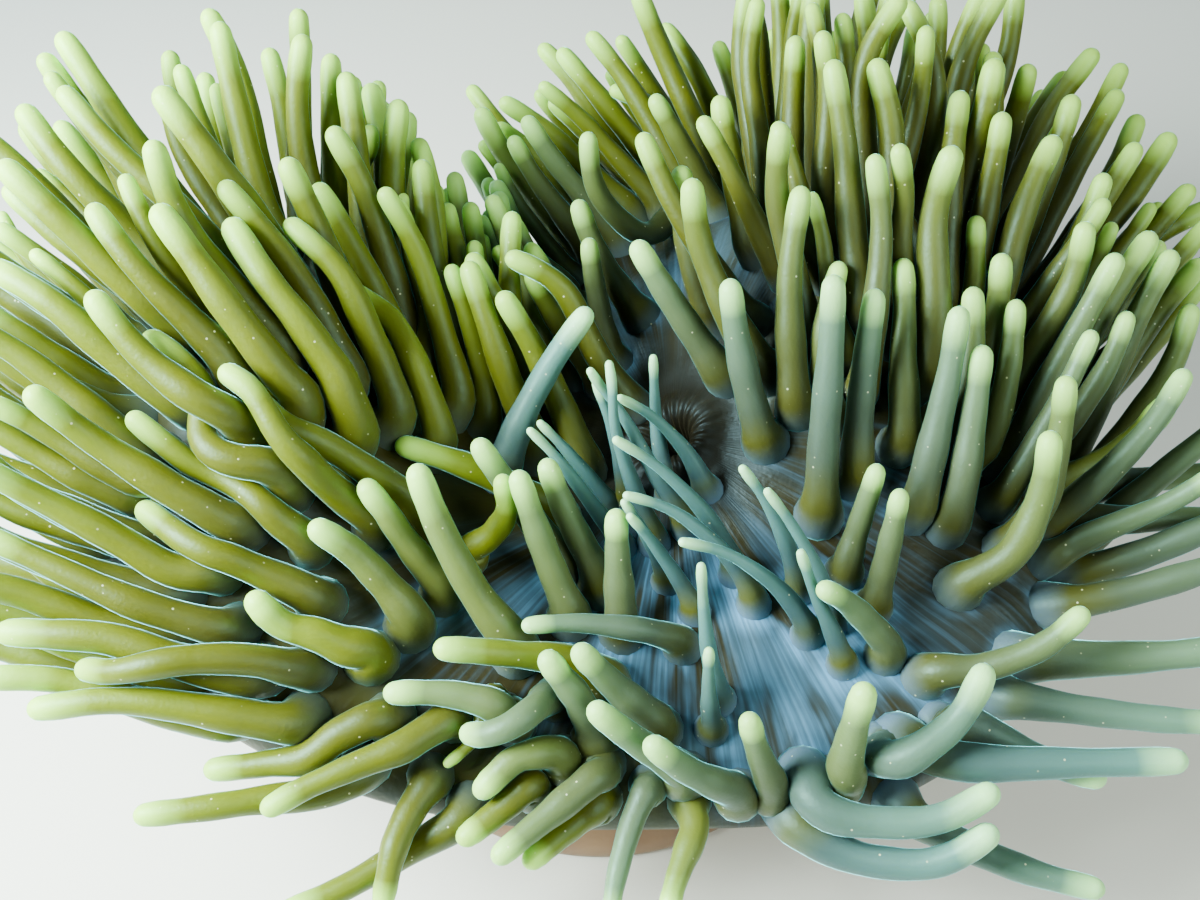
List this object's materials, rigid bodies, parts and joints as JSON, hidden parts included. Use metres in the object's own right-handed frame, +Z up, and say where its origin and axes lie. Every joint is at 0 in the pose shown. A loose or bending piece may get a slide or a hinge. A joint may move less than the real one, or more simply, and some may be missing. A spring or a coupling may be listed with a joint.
{
  "type": "magnificent sea anemone",
  "caption": "Still life-size sea anemone: flat foot, column and a wide folded disc thick with long blunt-tipped tentacles.",
  "frame": {"origin": "centre of the foot's flat underside, on the floor", "axes": "+Z up; -Y toward the viewer of the picture; +X to the viewer's right"},
  "size_m": [0.3306, 0.2507, 0.1707],
  "materials": {
    "column_skin": "moist, slightly glossy tan skin",
    "lip_skin": "wet blue-grey skin",
    "disc_skin": "wet blue-grey skin with fine radial ribs",
    "tentacle_skin": "soft olive skin, paler yellow-green at the tips"
  },
  "bodies": {
    "root": {"foot": "column_skin", "column": "column_skin", "mouth": "lip_skin", "oral_disc": "disc_skin", "far_fold_right": "tentacle_skin", "far_fold_left": "tentacle_skin", "left_lobe_back": "tentacle_skin", "left_lobe_side": "tentacle_skin", "left_lobe_front": "tentacle_skin", "near_margin_left": "tentacle_skin", "near_margin_right": "tentacle_skin", "right_lobe_front": "tentacle_skin", "right_lobe_side": "tentacle_skin", "right_lobe_back": "tentacle_skin", "far_margin_right": "tentacle_skin", "far_margin_left": "tentacle_skin"}
  },
  "joints": []
}
